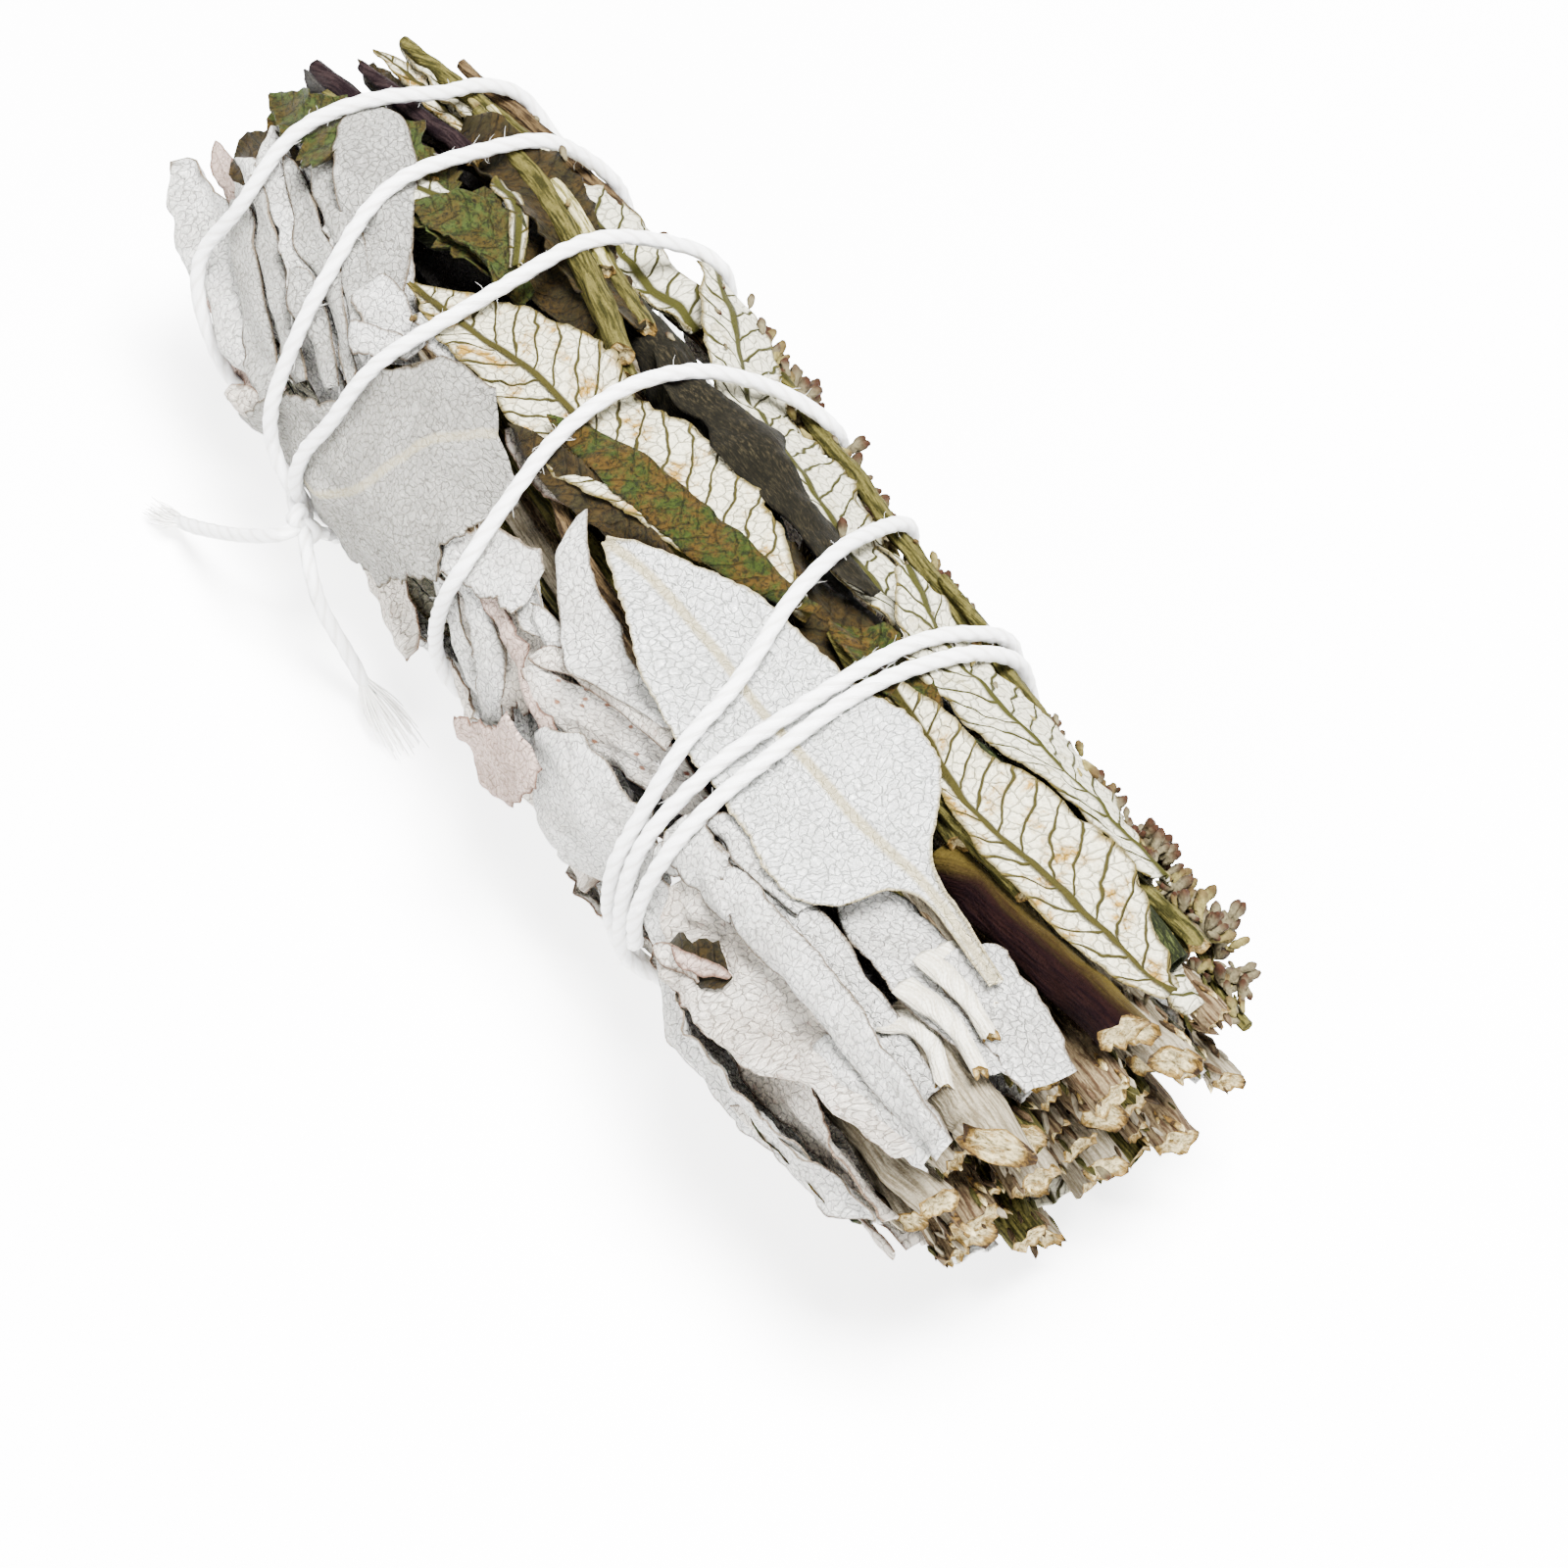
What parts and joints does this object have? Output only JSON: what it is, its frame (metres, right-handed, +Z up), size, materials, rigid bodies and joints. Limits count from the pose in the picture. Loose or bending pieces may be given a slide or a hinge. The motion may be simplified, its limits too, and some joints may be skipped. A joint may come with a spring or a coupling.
{
  "type": "sage smudge stick",
  "caption": "Hand-tied bundle of dried white sage, yerba santa and mugwort, wound with white cotton string, lying on its side.",
  "frame": {"origin": "bottom centre of the whole box, on the surface that the bundle lies on", "axes": "+X along the bundle towards the cut stems, +Z up, away from the surface"},
  "size_m": [0.1182, 0.045, 0.0402],
  "materials": {
    "white_sage": "felted, dull",
    "yerba_santa": "dried leaf, netted with veins, dull",
    "stem": "dried stem, satin",
    "mugwort": "dried florets, dull",
    "cotton_string": "twisted cotton, matte"
  },
  "bodies": {
    "root": {"cotton_string": "cotton_string", "inner_stem_bunch": "stem", "mugwort_spray_a": "mugwort", "mugwort_spray_b": "mugwort", "mugwort_spray_c": "mugwort", "mugwort_spray_d": "mugwort", "sage_broad": "white_sage", "sage_butt_left": "white_sage", "sage_central": "white_sage", "sage_far_1": "white_sage", "sage_far_3": "white_sage", "sage_far_4": "white_sage", "sage_far_6": "white_sage", "sage_inner_1": "white_sage", "sage_inner_2": "white_sage", "sage_inner_3": "white_sage", "sage_inner_4": "white_sage", "sage_inner_5": "white_sage", "sage_inner_6": "white_sage", "sage_left": "white_sage", "sage_long_fold": "white_sage", "sage_low_left": "white_sage", "sage_low_right": "white_sage", "sage_pink": "white_sage", "sage_ragged": "white_sage", "sage_rest_butt": "white_sage", "sage_rest_middle": "white_sage", "sage_rest_tip": "white_sage", "sage_side_tip": "white_sage", "sage_small_fold": "white_sage", "sage_spotted": "white_sage", "sage_tip_a": "white_sage", "sage_tip_b": "white_sage", "sage_tip_c": "white_sage", "sage_tip_d": "white_sage", "sage_tip_e": "white_sage", "sage_under": "white_sage", "sage_wrinkled": "white_sage", "stem_dark_twig": "stem", "stem_mottled": "stem", "stem_olive_butt": "stem", "stem_olive_long": "stem", "stem_purple_tip": "stem", "stem_sage_oblique": "stem", "stem_sage_thick": "stem", "yerba_butt": "yerba_santa", "yerba_curled_tip": "yerba_santa", "yerba_far_2": "yerba_santa", "yerba_far_5": "yerba_santa", "yerba_main": "yerba_santa", "yerba_rib": "yerba_santa", "yerba_right": "yerba_santa", "yerba_rolled_dark": "yerba_santa", "yerba_rolled_green": "yerba_santa", "yerba_shoulder": "yerba_santa", "yerba_tip_a": "yerba_santa", "yerba_tip_b": "yerba_santa", "yerba_tip_c": "yerba_santa"}
  },
  "joints": []
}
